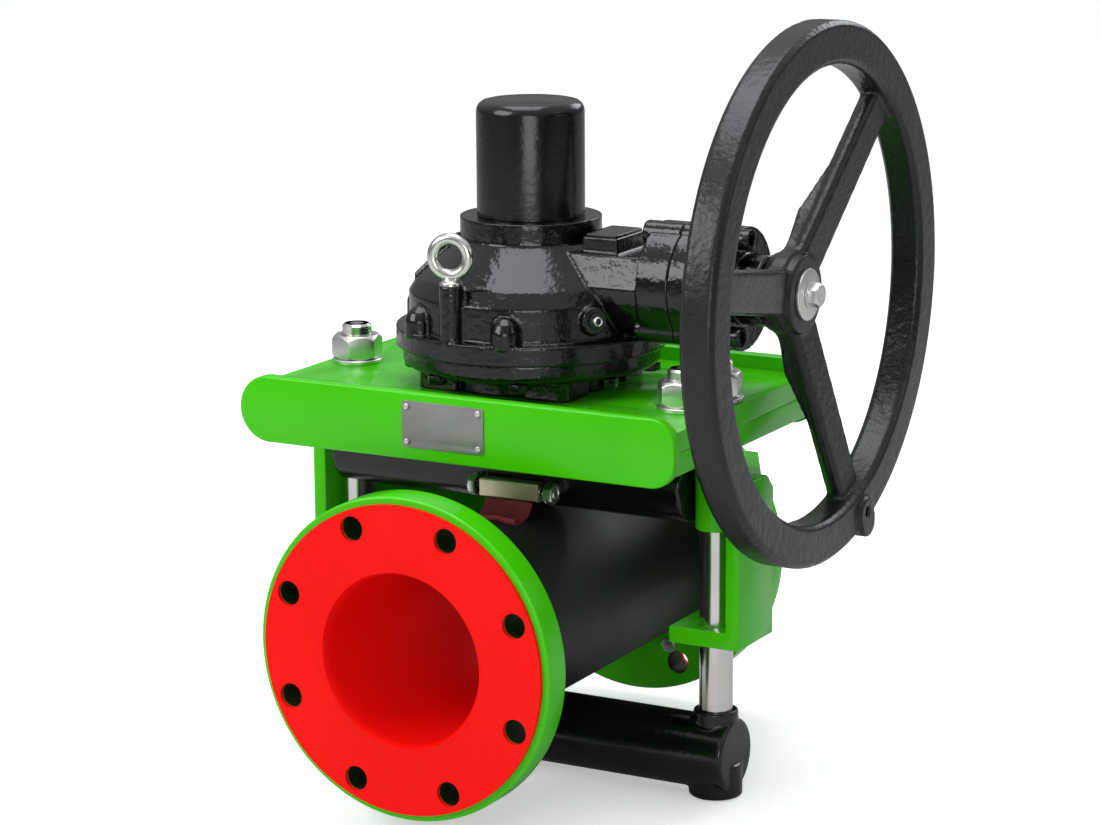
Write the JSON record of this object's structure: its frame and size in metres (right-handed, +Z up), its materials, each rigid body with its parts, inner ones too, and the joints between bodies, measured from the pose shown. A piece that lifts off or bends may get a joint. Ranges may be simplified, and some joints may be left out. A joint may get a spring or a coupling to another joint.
{
  "type": "pinch valve",
  "caption": "Open-body pinch valve: flanged rubber sleeve squeezed between two round bars by a bevel gearbox with a handwheel.",
  "frame": {"origin": "centre of the pipe bore, half way between the two flange faces", "axes": "+Y along the pipe from the front flange to the rear flange, +X towards the handwheel, +Z up through the gearbox"},
  "size_m": [0.5135, 0.47, 0.692],
  "materials": {
    "green_paint": "gloss",
    "black_paint": "gloss",
    "black_cast": "gloss paint over casting",
    "wheel_black": "satin powder coat",
    "red_rubber": "satin",
    "black_rubber": "matte",
    "maroon_rubber": "matte",
    "polished_steel": "polished",
    "zinc_steel": "satin",
    "yellow_zinc": "satin",
    "bronze": "satin",
    "label_metal": "satin"
  },
  "bodies": {
    "body_frame": {"front_flange": "green_paint", "rear_flange": "green_paint", "flange_screws": "zinc_steel", "sleeve_liner": "red_rubber", "front_seal_face": "red_rubber", "rear_seal_face": "red_rubber", "sleeve_cover": "black_rubber", "left_bracket": "green_paint", "right_bracket": "green_paint"},
    "yoke": {"top_plate": "green_paint", "front_beam": "green_paint", "rear_beam": "green_paint", "side_bars": "green_paint", "nameplate": "label_metal", "nameplate_screws": "zinc_steel", "guide_rod_left": "polished_steel", "guide_rod_right": "polished_steel", "stop_stud": "zinc_steel", "rod_washers": "zinc_steel", "rod_nuts": "zinc_steel", "lower_pinch_bar": "black_paint", "gearbox_base": "black_cast", "gearbox_housing": "black_cast", "pad_lid": "black_cast", "housing_bolts": "black_cast", "stem_cover": "black_paint", "eye_bolt": "polished_steel", "input_cover": "black_cast", "input_bolts": "black_cast", "grease_nipple": "zinc_steel", "base_bolts": "zinc_steel", "lower_bearing": "bronze", "upper_bearing": "bronze", "input_bearings": "bronze"},
    "drive": {"drive_nut": "bronze", "crown_gear": "polished_steel"},
    "wheel": {"handwheel": "wheel_black", "input_shaft": "polished_steel", "bevel_pinion": "polished_steel", "wheel_washer": "zinc_steel", "wheel_bolt": "zinc_steel"},
    "upper_bar": {"upper_pinch_bar": "black_paint", "stem": "polished_steel", "stem_pin": "zinc_steel", "clamp_block": "yellow_zinc", "clamp_bolt": "zinc_steel", "clamp_nut": "zinc_steel", "strap": "maroon_rubber"}
  },
  "joints": [
    {"name": "yoke_lift", "type": "slide", "parent": "body_frame", "child": "yoke", "axis": [0, 0, 1], "range_m": [0, 0.062], "deforming": ["sleeve_cover", "sleeve_liner"]},
    {"name": "bar_drop", "type": "slide", "parent": "body_frame", "child": "upper_bar", "axis": [0, 0, -1], "range_m": [0, 0.086], "deforming": ["sleeve_cover", "sleeve_liner"]},
    {"name": "handwheel_turn", "type": "hinge", "parent": "yoke", "child": "wheel", "pos_m": [0.25, 0, 0.3], "axis": [-1, 0, 0], "range_deg": [0, 13320]},
    {"name": "drive_turn", "type": "hinge", "parent": "yoke", "child": "drive", "pos_m": [0, 0, 0.29], "axis": [0, 0, -1], "range_deg": [0, 4440.5]}
  ],
  "couplings": [
    {"joint": "yoke_lift", "follows": "handwheel_turn", "m_per_rad": 0.00026669},
    {"joint": "bar_drop", "follows": "handwheel_turn", "m_per_rad": 0.00036993},
    {"joint": "drive_turn", "follows": "handwheel_turn", "ratio": 0.33333}
  ]
}
